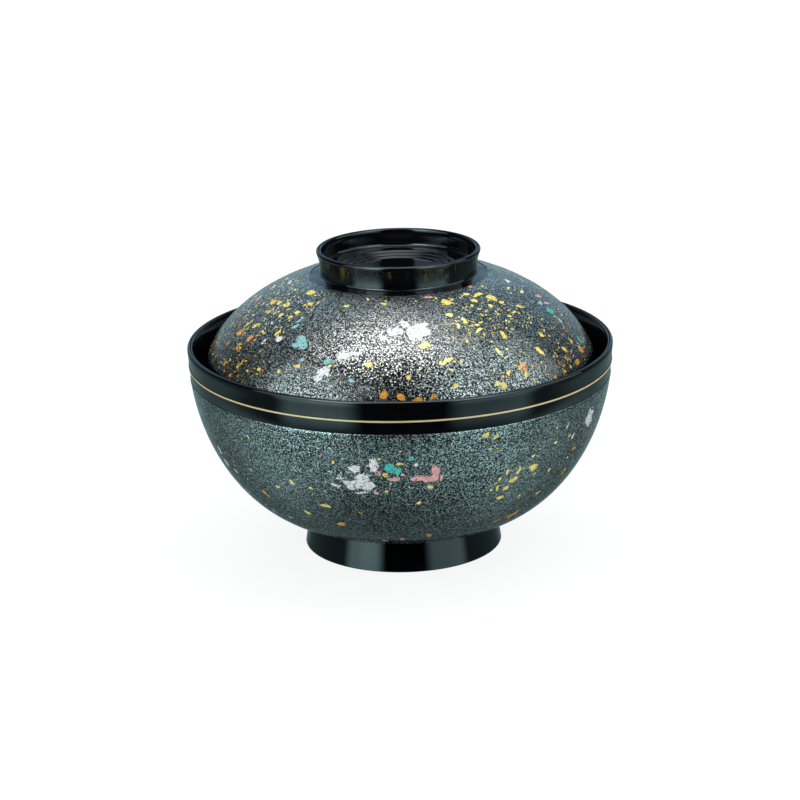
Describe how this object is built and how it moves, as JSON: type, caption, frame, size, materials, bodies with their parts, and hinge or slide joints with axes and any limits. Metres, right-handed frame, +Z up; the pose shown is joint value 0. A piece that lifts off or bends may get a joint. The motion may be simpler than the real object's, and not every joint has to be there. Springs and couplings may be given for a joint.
{
  "type": "lidded soup bowl",
  "caption": "Lacquer soup bowl with a lift-off domed lid: black rim, gold line, sprinkled grey coat, foot ring and grip ring.",
  "frame": {"origin": "middle of the foot ring's resting plane", "axes": "+Z up along the axis that bowl and lid are turned round; -Y is the side that the picture shows"},
  "size_m": [0.13, 0.13, 0.0937],
  "materials": {
    "black_lacquer": "deep black lacquer, polished to a wet gloss",
    "sprinkled_coat": "clear gloss lacquer over fine silver sand on greenish black, with scattered leaf flakes in silver, gold, orange, turquoise and pink",
    "gold_line": "pale gold, satin, slightly raised"
  },
  "bodies": {
    "bowl": {"bowl_body": "black_lacquer", "bowl_sprinkled_coat": "sprinkled_coat", "bowl_gold_line": "gold_line"},
    "lid": {"lid_body": "black_lacquer", "lid_sprinkled_coat": "sprinkled_coat"}
  },
  "joints": [
    {"name": "lid_lift", "type": "slide", "parent": "bowl", "child": "lid", "axis": [0, 0, 1], "range_m": [0, 0.06]}
  ]
}
